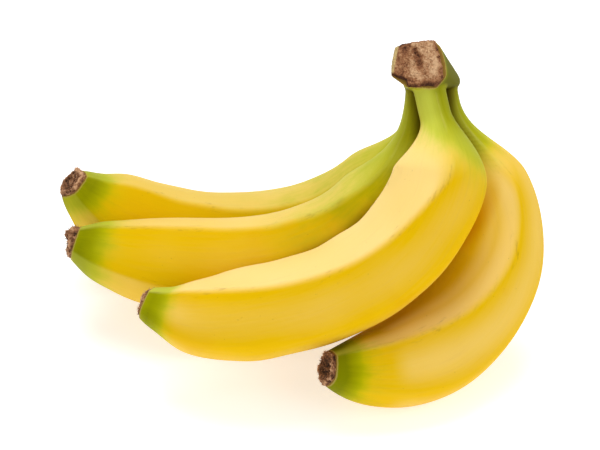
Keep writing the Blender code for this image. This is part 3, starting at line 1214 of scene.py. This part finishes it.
@dataclass
class CrownSkin:
    """The crown and the tops of the necks: one peel that fills in between them, worked out on a grid."""

    outline: Path
    cut: Array
    normal: Array
    step: float = 0.55
    low: tuple[float, float, float] = (-22.0, -36.0, -38.0)
    high: tuple[float, float, float] = (28.0, 26.0, 26.0)
    softness: float = 0.8
    neck_reach: float = 27.0
    collar_reach: float = -1.2
    collar_corners: int = 24
    root_sink: float = 4.0
    lip: float = 1.7
    undercut: float = -2.9
    sliver: float = 0.02
    # How far the peel stands off a neck, how far it sinks further along, and from where over what length
    neck_lift: float = 0.06
    neck_sink: float = 0.42
    neck_sink_run: tuple[float, float] = (11.0, 18.0)
    blur_span: tuple[float, float] = (25.0, 9.0)
    neck_ends: tuple[float, float] = (-12.0, 52.0)

    def axes(self) -> tuple[Array, Array]:
        """The directions across the cut and up it."""
        across = unit(np.cross([0.0, 0.0, 1.0], self.normal))
        return across, np.cross(self.normal, across)

    def lip_corners(self) -> list[Array]:
        """The flat slab right under the cut, which juts out over the necks on the left.

        Returns:
            The slab's corners.
        """
        across, over = self.axes()
        return [
            self.cut + lift * self.normal + scale * (a * across + o * over)
            for lift, scale in ((-self.lip, 1.03), (-0.9, 1.05), (3.0, 0.95)) for a, o in self.outline
        ]

    def body_corners(self) -> list[Array]:
        """The crown's body: the cut without its lip, and a collar round each neck's root.

        Returns:
            The body's corners.
        """
        across, over = self.axes()
        corners = [
            self.cut + lift * self.normal + max(a, self.undercut) * across + o * over
            for lift in (-1.0, 5.0) for a, o in self.outline
        ]
        for finger in FINGERS:
            heading, inner = finger.axes()
            side = np.cross(heading, inner)
            for along in (-self.root_sink, self.collar_reach):
                for turn in full_turn(self.collar_corners):
                    corners.append(
                        np.array(finger.root) + along * heading
                        + finger.collar * (math.cos(turn) * inner + math.sin(turn) * side))
        return corners

    def hull_level(self, corners: Sequence[Array], points: Array) -> Array:
        """How far points lie outside the hull of some corners.

        Args:
            corners: The places that the hull spans.
            points: Rows of places.

        Returns:
            The distance of each point from the hull's nearest side, negative inside.
        """
        mesh = bmesh.new()
        for corner in corners:
            mesh.verts.new(Vector(corner))
        bmesh.ops.convex_hull(mesh, input=list(mesh.verts))
        middle = np.mean(corners, axis=0)
        level = np.full(len(points), -1e9)
        for face in mesh.faces:
            if face.calc_area() < self.sliver:
                continue
            direction, point = np.array(face.normal), np.array(face.verts[0].co)
            if direction @ (point - middle) < 0.0:
                direction = -direction
            level = np.maximum(level, (points - point) @ direction)
        mesh.free()
        return level

    def neck_place(self, finger: Finger, points: Array) -> tuple[Array, Array, Array]:
        """Where points lie round a neck.

        Args:
            finger: Whose neck.
            points: Rows of places.

        Returns:
            The distance along the neck, the angle round it and the distance from its middle.
        """
        spine = finger.spine(np.arange(*self.neck_ends, 0.5))
        nearest = nearest_on(spine, points)
        offset = points - spine.points[nearest]
        directions = (spine.forward, spine.inward, spine.across)
        beyond, inward, across = ((offset * direction[nearest]).sum(axis=1) for direction in directions)
        return spine.distance[nearest] + beyond, np.arctan2(across, inward), np.hypot(inward, across)

    def build(self) -> bpy.types.Object:
        """Make the crown's mesh.

        Returns:
            The crown's peel, in place.
        """
        axes = [np.arange(a, b, self.step) for a, b in zip(self.low, self.high)]
        grid = np.stack(np.meshgrid(*axes, indexing="ij"), axis=-1)
        points = grid.reshape(-1, 3)
        level = np.minimum(
            self.hull_level(self.lip_corners(), points), self.hull_level(self.body_corners(), points))
        for finger in FINGERS:
            along, angle, away = self.neck_place(finger, points)
            lift = self.neck_lift - self.neck_sink * rise(along, *self.neck_sink_run)
            neck = away - finger.radius_at(along, angle) - lift
            inside = reduce(np.maximum, [neck, along - self.neck_reach, -self.root_sink - along])
            level = np.minimum(level, inside)
        level = level.reshape(grid.shape[:3])
        near = fall(np.linalg.norm(grid, axis=-1), *self.blur_span)
        level = level + (self.blurred(level) - level) * near
        level = np.maximum(level, (grid - self.cut) @ self.normal)
        made, faces = surface_net(level, np.array(self.low), self.step)
        return mesh_object("skin_crown", made, faces, self.dressing(made))

    def blurred(self, level: Array) -> Array:
        """Blur a grid of distances, so that corners and creases turn soft.

        Args:
            level: The grid.

        Returns:
            The blurred grid.
        """
        reach = int(math.ceil(2.5 * self.softness / self.step))
        offsets = np.arange(-reach, reach + 1) * self.step
        weights = np.exp(-0.5 * (offsets / self.softness) ** 2)
        weights /= weights.sum()
        out = level
        for axis in range(3):
            padded = np.pad(out, [(reach, reach) if a == axis else (0, 0) for a in range(3)], mode="edge")
            size = level.shape[axis]
            out = sum(
                weight * np.take(padded, np.arange(i, i + size), axis=axis)
                for i, weight in enumerate(weights))
        return out

    def dressing(self, points: Array) -> dict[str, Array]:
        """What the skin's material reads at each vertex.

        Args:
            points: The vertices.

        Returns:
            The same named values as on a finger, from the neck that is nearest.
        """
        best, along_best = np.full(len(points), 1e9), np.zeros(len(points))
        values: dict[str, Array] = {}
        gaps = []
        for finger in FINGERS:
            along, angle, away = self.neck_place(finger, points)
            gap = away - finger.radius_at(along, angle)
            gaps.append(gap)
            nearer = gap < best
            best = np.where(nearer, gap, best)
            along_best = np.where(nearer, along, along_best)
            for key, value in finger.dressing(along, angle).items():
                values.setdefault(key, value.copy())[nearer] = value[nearer]
        below = -((points - self.cut) @ self.normal)
        aside = (points - self.cut) @ self.axes()[0]
        body = np.maximum(rise(best, 0.0, 1.4), fall(along_best, 1.5, 3.0))
        clear = np.maximum(rise(best, 1.0, 2.0), fall(along_best, -0.5, 2.5))
        # The crown's right flank faces away from the light: it is painted a deeper green, and painted shade
        # darkens it
        flank = rise(aside, 7.0, 2.5)
        values["green"] = np.maximum(values["green"], body * (0.66 + 0.3 * flank))
        values["pale_and_sheen"] *= 1.0 - body * (0.65 + 0.35 * flank)
        values["ridge"] *= fall(best, 0.8, 0.8)
        values["to_end"] = np.minimum(values["to_end"], below * (0.45 + 0.55 * rise(aside, -6.0, 3.0)))
        # Painted shade in the creases between the necks below the cut, less where a neck stands clear
        crease = crease_shade_of(np.sort(gaps, axis=0)[1]) * rise(below, 3.0, 8.0) * (1.0 - 0.92 * clear)
        values["crease"] = np.maximum(crease, 0.3 * flank * body * rise(below, 0.5, 3.0))
        return values


def surface_net(level: Array, low: Array, step: float) -> tuple[Array, list[tuple[int, ...]]]:
    """The surface where a grid of distances changes sign, as quads.

    Args:
        level: Distances, negative inside.
        low: The place of the grid's first point.
        step: The grid's spacing.

    Returns:
        The vertices and the faces.
    """
    cells = tuple(size - 1 for size in level.shape)
    total, count, crossings = np.zeros((*cells, 3)), np.zeros(cells), []
    for axis in range(3):
        first, second = (np.take(level, range(i, cells[axis] + i), axis=axis) for i in (0, 1))
        crossed = (first < 0.0) != (second < 0.0)
        others = [a for a in range(3) if a != axis]
        crossings.append((others, crossed, (first < 0.0) ^ (axis == 1)))
        place = np.stack(np.indices(first.shape), axis=-1).astype(float)
        place[..., axis] += np.where(crossed, first / np.where(crossed, first - second, 1.0), 0.0)
        for shift in itertools.product((0, 1), repeat=2):
            window = [slice(None)] * 3
            for other, move in zip(others, shift):
                window[other] = slice(move, move + cells[other])
            here = crossed[tuple(window)]
            total += np.where(here[..., None], place[tuple(window)], 0.0)
            count += here
    used = count > 0
    number = np.full(cells, -1)
    number[used] = np.arange(used.sum())
    faces: list[tuple[int, ...]] = []
    for others, crossed, flipped in crossings:
        inner = np.zeros_like(crossed)
        inner[tuple(slice(1, -1) if a in others else slice(None) for a in range(3))] = True
        where = np.argwhere(crossed & inner)
        corners = []
        for shift in ((-1, -1), (0, -1), (0, 0), (-1, 0)):
            cell = where.copy()
            cell[:, others] += shift
            corners.append(number[tuple(cell.T)])
        quads = np.stack(corners, axis=1)
        kept = flipped[tuple(where.T)]
        quads[~kept] = quads[~kept][:, ::-1]
        faces += [tuple(quad) for quad in quads.tolist()]
    return low + step * total[used] / count[used][:, None], faces


@dataclass
class CutFace:
    """The dry brown face of the crown's cut, torn at its lower edge and hollow down its middle."""

    crown: CrownSkin
    rings: int = 80
    sides: int = 260
    thickness: float = 1.5
    skirt: float = 1.1
    hollow: Path = ((-1.9, 6.5), (0.9, 2.5), (2.0, 0.0), (2.4, -2.5), (3.2, -6.0))
    rind_width: float = 0.9
    raggedness: tuple[float, float] = (0.018, 0.012)
    centre_share: float = 0.012
    side_shares: tuple[float, ...] = (1.012, 1.014, 1.0)
    side_drops: tuple[float, ...] = (0.35, 0.75, 1.0)
    torn_below: float = -5.6

    def reach(self, angle: Array) -> Array:
        """How far the outline lies from the middle of the cut.

        Args:
            angle: Radians round the cut.

        Returns:
            Millimetres at each angle.
        """
        corners = np.array(self.crown.outline)
        closed = np.concatenate([corners, corners[:1]])
        steps = np.linspace(0.0, 1.0, 40, endpoint=False)[:, None]
        fine = np.concatenate([a + (b - a) * steps for a, b in zip(closed, closed[1:])])
        turns = np.arctan2(fine[:, 1], fine[:, 0])
        order = np.argsort(turns)
        turns, reaches = turns[order], np.hypot(fine[:, 0], fine[:, 1])[order]
        turns = np.concatenate([turns - 2.0 * math.pi, turns, turns + 2.0 * math.pi])
        wrapped = (angle + math.pi) % (2.0 * math.pi) - math.pi
        return rounded_path(wrapped, turns, np.tile(reaches, 3), (-0.05, 0.0, 0.05))

    def build(self) -> bpy.types.Object:
        """Make the face's mesh.

        Returns:
            The cut face, in place.
        """
        angle = full_turn(self.sides)
        share = np.concatenate([np.linspace(self.centre_share, 1.0, self.rings), self.side_shares])
        drop = np.concatenate([np.zeros(self.rings), self.side_drops])
        circle = np.stack([np.cos(angle), np.sin(angle), np.zeros(self.sides)], axis=-1)
        coarse, fine = self.raggedness
        ragged = 1.0 + coarse * rough_noise(circle * 6.0, 31) + fine * lattice_noise(circle * 22.0, 37)
        flat = share[:, None] * (self.reach(angle) * ragged)[None, :]
        x, y = flat * np.cos(angle), flat * np.sin(angle)
        height, tone = self.relief(x, y, share[:, None] * np.ones(self.sides))
        height = height * (1.0 - drop[:, None]) - self.skirt * drop[:, None]
        across, over = self.crown.axes()
        points = (self.crown.cut + x[..., None] * across + y[..., None] * over
                  + height[..., None] * self.crown.normal)
        points = np.concatenate([[points[0].mean(axis=0)], points.reshape(-1, 3)])
        rind = fall(x, self.rind_width - 8.3, 0.5) * rise(y, self.torn_below, 1.0)
        fuzz = ((drop == 0.0) & (share < 0.97))[:, None] * (1.0 - rind)
        middles = {"tone": (tone, tone[0].mean()), "rind": (rind, 0.0), "fuzz": (fuzz, 1.0)}
        values = {key: np.append(middle, value.ravel()) for key, (value, middle) in middles.items()}
        return mesh_object("cut_face", points, ring_faces(len(share), self.sides, pole_first=True), values)

    def relief(self, x: Array, y: Array, share: Array) -> tuple[Array, Array]:
        """The dry face's height and its light and dark.

        Args:
            x: Millimetres across the cut.
            y: Millimetres up it.
            share: 0 in the middle, 1 at the outline.

        Returns:
            The height in millimetres and the tone from 0, dark, to 1, light.
        """
        path, still = np.array(self.hollow), np.zeros_like(x)
        middle = np.interp(y, path[::-1, 1], path[::-1, 0])
        wander = 0.8 * lattice_noise(np.stack([y * 0.5, still, still], axis=-1), 5)
        hollow = bell(x, middle + wander, 1.5) * fall(y, 7.5, 4.0) * rise(y, -5.0, 4.0)
        place = np.stack([x, y, still], axis=-1)
        lumps = rough_noise(place * 0.42, 11, 4)
        fibres = rough_noise(place * np.array([2.4, 0.7, 1.0]), 13, 3, 0.6)
        bent = place + 1.2 * np.stack([
            lattice_noise(place * 0.8, 41), lattice_noise(place * 0.8, 43), still], axis=-1)
        curls = 1.0 - 2.0 * np.abs(rough_noise(bent * np.array([1.5, 1.1, 1.0]), 47, 3, 0.6))
        pits = np.maximum(rough_noise(bent * 0.8, 19, 3) - 0.34, 0.0)
        height = (self.thickness * (0.55 + 0.45 * fall(share, 1.0, 0.1)) - hollow + 0.45 * lumps
                  + 0.2 * fibres + 0.28 * curls - 1.2 * pits)
        # The left part of the cut is painted darker, as shade on a face turned away from the light
        tone = 0.66 - 0.34 * fall(x, 1.5, 7.0) - 0.62 * hollow + 0.26 * lumps - 0.9 * pits + 0.2 * curls
        rim = fall(1.0 - share, 0.12 + 0.12 * rise(x, 2.0, 4.0), 0.12 + 0.12 * rise(x, 2.0, 4.0))
        return height, np.clip(tone - 0.36 * rim - 0.3 * fall(y, -5.4, 1.8), 0.0, 1.0)


@dataclass
class BlossomEnd:
    """The dry stub at a finger's tip, where the flower was: a crumpled rim round a lumpy dish."""

    finger: Finger
    seed: int
    wall: float
    lump_angle: float
    lump_away: float
    lump_height: float
    lump_width: float = 1.5
    dish: float = 0.9
    slant: float = 0.0
    shade: float = 0.0
    width: float = 6.35
    rim: float = 5.3
    lobes: float = 0.05
    crumple: float = 0.55
    rings: int = 72
    sides: int = 140
    tones: Path = (
        (0.0, 0.3), (0.08, 0.5), (0.2, 0.5), (0.3, 0.72), (0.4, 0.62), (0.5, 0.34), (0.8, 0.3), (1.0, 0.4))

    def profile(self) -> Array:
        """The stub's side view, from under the skin's edge, over the rim, into the dish.

        Returns:
            The radius and the height of each ring, in millimetres.
        """
        keys = np.array([
            (self.width - 0.6, -0.8), (self.width, 0.1),
            (0.5 * (self.width + self.rim) + 0.2, 0.6 * self.wall), (self.rim, self.wall),
            (self.rim - 0.55, self.wall), (self.rim - 1.2, self.wall - 0.7 * self.dish),
            (2.6, self.wall - self.dish), (1.2, self.wall - 0.95 * self.dish),
            (0.2, self.wall - 0.8 * self.dish),
        ])
        steps = np.concatenate([[0.0], np.cumsum(np.hypot(*np.diff(keys, axis=0).T))])
        share = np.linspace(0.0, steps[-1], self.rings)
        shifts = (-0.2, 0.0, 0.2)
        return np.stack([rounded_path(share, steps, column, shifts) for column in keys.T], axis=-1)

    def build(self) -> bpy.types.Object:
        """Make the stub's mesh.

        Returns:
            The stub, in place.
        """
        spine = self.finger.spine(np.array([self.finger.length]))
        tip, ahead, inner, side = spine.points[0], spine.forward[0], spine.inward[0], spine.across[0]
        angle = full_turn(self.sides)
        radius, height = (column[:, None] for column in self.profile().T)
        circle = np.stack([np.cos(angle), np.sin(angle)], axis=-1)[None, :, :]
        upright = height[..., None] * np.ones((1, self.sides, 1))
        place = np.concatenate([radius[..., None] * circle, upright], axis=-1)
        free = rise(height, -0.2, 0.9)
        folds = rough_noise(place * 0.6, self.seed, 4, 0.6)
        strands = rough_noise(place * 1.7, self.seed + 7, 3, 0.6)
        ridge = self.finger.ridge_angle(np.array([self.finger.length]))
        toward = math.radians(self.lump_angle)
        lump_at = self.lump_away * np.array([math.cos(toward), math.sin(toward)])
        gap = ((radius[..., None] * circle - lump_at) ** 2).sum(axis=-1)
        lump = np.exp(-gap / (2.0 * self.lump_width ** 2))
        tilt = self.slant * radius / self.width * np.cos(angle)
        lobed = radius * (1.0 + self.lobes * np.cos(FACES * (angle - ridge))[None, :])
        radius = lobed + free * self.crumple * (0.8 * folds + 0.5 * strands)
        height = height + free * (self.crumple * (strands + 0.7 * folds) + tilt + self.lump_height * lump)
        points = (tip + height[..., None] * ahead
                  + radius[..., None] * (circle[..., :1] * inner + circle[..., 1:] * side))
        tone = self.tone(strands, folds, lump)
        fuzz = np.append((free * np.ones_like(strands) > 0.9).ravel().astype(float), 1.0)
        values = {"tone": with_pole(tone), "fuzz": fuzz}
        return mesh_object(
            f"blossom_{self.finger.name}", with_pole(points), ring_faces(self.rings, self.sides), values)

    def tone(self, strands: Array, folds: Array, lump: Array) -> Array:
        """Light on the rim and the lump, dark in the dish, brown outside.

        Args:
            strands: The fine relief at each vertex.
            folds: The coarse relief at each vertex.
            lump: How near each vertex is to the lump.

        Returns:
            The tone from 0, dark, to 1, light, at each vertex.
        """
        keys = np.array(self.tones)
        base = np.interp(np.linspace(0.0, 1.0, len(strands)), keys[:, 0], keys[:, 1])[:, None]
        return np.clip(base + 0.2 * lump + 0.75 * strands + 0.35 * folds - self.shade, 0.0, 1.0)


# The room


def aimed(name: str, data: bpy.types.ID, place: Vector, target: Vector) -> bpy.types.Object:
    """A light or camera in its place, turned to its target.

    Args:
        name: The object's name.
        data: The light or the camera.
        place: Where it is, in metres.
        target: What it looks at, in metres.

    Returns:
        The new object.
    """
    made = placed(name, data)
    made.location = place
    made.rotation_mode = "QUATERNION"
    made.rotation_quaternion = (target - place).to_track_quat("-Z", "Y")
    return made


@dataclass
class Softbox:
    """A large soft light."""

    name: str
    place: tuple[float, float, float]
    power: float
    width: float = 0.9

    def build(self, target: Vector) -> None:
        """Hang the light and turn it to its target.

        Args:
            target: What it lights, in metres.
        """
        light = bpy.data.lights.new(self.name, "AREA")
        light.shape = "SQUARE"
        light.size, light.energy = self.width, self.power
        aimed(self.name, light, Vector(self.place), target)


@dataclass
class Studio:
    """The table, the lights and the camera."""

    aim_from_heart: tuple[float, float, float] = (-48.5, -22.5, -47.9)
    distance: float = 0.9
    elevation: float = 36.3
    lens: float = 140.4
    sensor: float = 36.0
    sight: tuple[float, float] = (0.05, 20.0)
    lights: tuple[Softbox, ...] = (
        Softbox("key", (-0.05, 0.40, 1.3), 13.0),
        Softbox("left", (-1.0, -0.8, 0.75), 3.3),
        Softbox("right", (1.0, -0.8, 0.9), 5.5),
    )
    daylight: float = 0.42
    table_reach: float = 4.0

    def build(self, floor: bpy.types.Material) -> None:
        """Set up the room.

        Args:
            floor: What the table is made of.
        """
        aim = Vector((HEART + np.array(self.aim_from_heart)) * MM)
        self.build_table(floor)
        for light in self.lights:
            light.build(aim)
        scene = bpy.context.scene
        scene.world = bpy.data.worlds.new("daylight")
        scene.world.use_nodes = True
        sky = scene.world.node_tree.nodes["Background"].inputs
        sky["Color"].default_value, sky["Strength"].default_value = (1.0, 1.0, 1.0, 1.0), self.daylight
        scene.view_settings.view_transform = "Standard"
        camera = bpy.data.cameras.new("camera")
        camera.lens, camera.sensor_width, camera.sensor_fit = self.lens, self.sensor, "HORIZONTAL"
        camera.clip_start, camera.clip_end = self.sight
        lift = math.radians(self.elevation)
        back = Vector((0.0, -math.cos(lift), math.sin(lift)))
        scene.camera = aimed("camera", camera, aim + self.distance * back, aim)
        LOG.info("studio: %d lights", len(self.lights))

    def build_table(self, floor: bpy.types.Material) -> None:
        """Lay the table, a wide plain square.

        Args:
            floor: What it is made of.
        """
        reach = self.table_reach
        corners = [(-reach, -reach, 0.0), (reach, -reach, 0.0), (reach, reach, 0.0), (-reach, reach, 0.0)]
        table = bpy.data.meshes.new("table")
        table.from_pydata(corners, [], [(0, 1, 2, 3)])
        table.materials.append(floor)
        placed("table", table)


@dataclass
class BananaHand:
    """The whole hand: its four fingers, the crown and the dry ends."""

    outline: Path = (
        (-9.0, 5.2), (-6.5, 7.0), (-3.0, 8.0), (1.0, 9.3), (5.3, 10.0), (7.6, 5.5), (10.0, -0.5),
        (10.7, -3.9), (9.0, -8.0), (5.9, -7.8), (2.8, -8.6), (0.3, -9.2), (-1.8, -9.3), (-2.6, -7.0),
        (-5.4, -6.5), (-8.5, -5.5), (-9.1, -1.0),
    )
    cut: tuple[float, float, float] = (-5.0, -8.0, 16.0)
    cut_normal: tuple[float, float, float] = (-0.14, -0.58, 0.80)
    cut_seed: int = 11
    cut_fibres: Mapping[str, float] = field(
        default_factory=lambda: {"Density": 1.7e6, "Length": 0.0012, "Thickness": 0.00013})
    husk_fibres: Mapping[str, float] = field(
        default_factory=lambda: {"Density": 1.3e6, "Length": 0.001, "Thickness": 0.00012})

    def build(self, wardrobe: Wardrobe) -> None:
        """Make and dress every piece.

        Args:
            wardrobe: The finished materials.
        """
        for finger in FINGERS:
            dress(FingerSkin(finger).build(), wardrobe.skin, Node.SKIN.value)
        crown = CrownSkin(self.outline, np.array(self.cut), unit(np.array(self.cut_normal)))
        dress(crown.build(), wardrobe.skin, Node.SKIN.value)
        cut_face = CutFace(crown).build()
        fibres = ScatterTree("cut_fibres", self.cut_seed, wardrobe.cut).scatter(
            "cut_fibres", cut_face, self.cut_fibres)
        # The cut's fibres grow down into the crown, from faces that look inwards until here
        cut_face.data.flip_normals()
        for piece in (cut_face, fibres):
            dress(piece, wardrobe.cut, Node.CUT_END.value)
        front, right, middle, back = FINGERS
        ends = (
            BlossomEnd(front, seed=101, wall=1.0, lump_angle=290, lump_away=3.5, lump_height=1.3,
                       crumple=0.35),
            BlossomEnd(right, seed=102, wall=1.5, lump_angle=150, lump_away=3.5, lump_height=1.4,
                       dish=0.5, shade=0.12, crumple=0.8),
            BlossomEnd(middle, seed=103, wall=2.6, lump_angle=330, lump_away=3.0, lump_height=2.4,
                       lump_width=1.3, dish=0.2, slant=0.7, crumple=0.75),
            BlossomEnd(back, seed=104, wall=1.7, lump_angle=40, lump_away=4.6, lump_height=1.3,
                       lump_width=2.1, dish=1.2, crumple=0.5),
        )
        for end in ends:
            husk = end.build()
            fibres = ScatterTree(f"husk_fibres_{end.finger.name}", end.seed, wardrobe.husk).scatter(
                f"fibres_{end.finger.name}", husk, self.husk_fibres)
            for piece in (husk, fibres):
                dress(piece, wardrobe.husk, f"{Node.BLOSSOM.value}_{end.finger.name}")


def main() -> None:
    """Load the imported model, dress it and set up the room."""
    logging.basicConfig(level=logging.INFO, format="%(name)s: %(message)s")
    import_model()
    wardrobe = Wardrobe()
    BananaHand().build(wardrobe)
    Studio().build(wardrobe.floor)


if __name__ == "__main__":
    main()
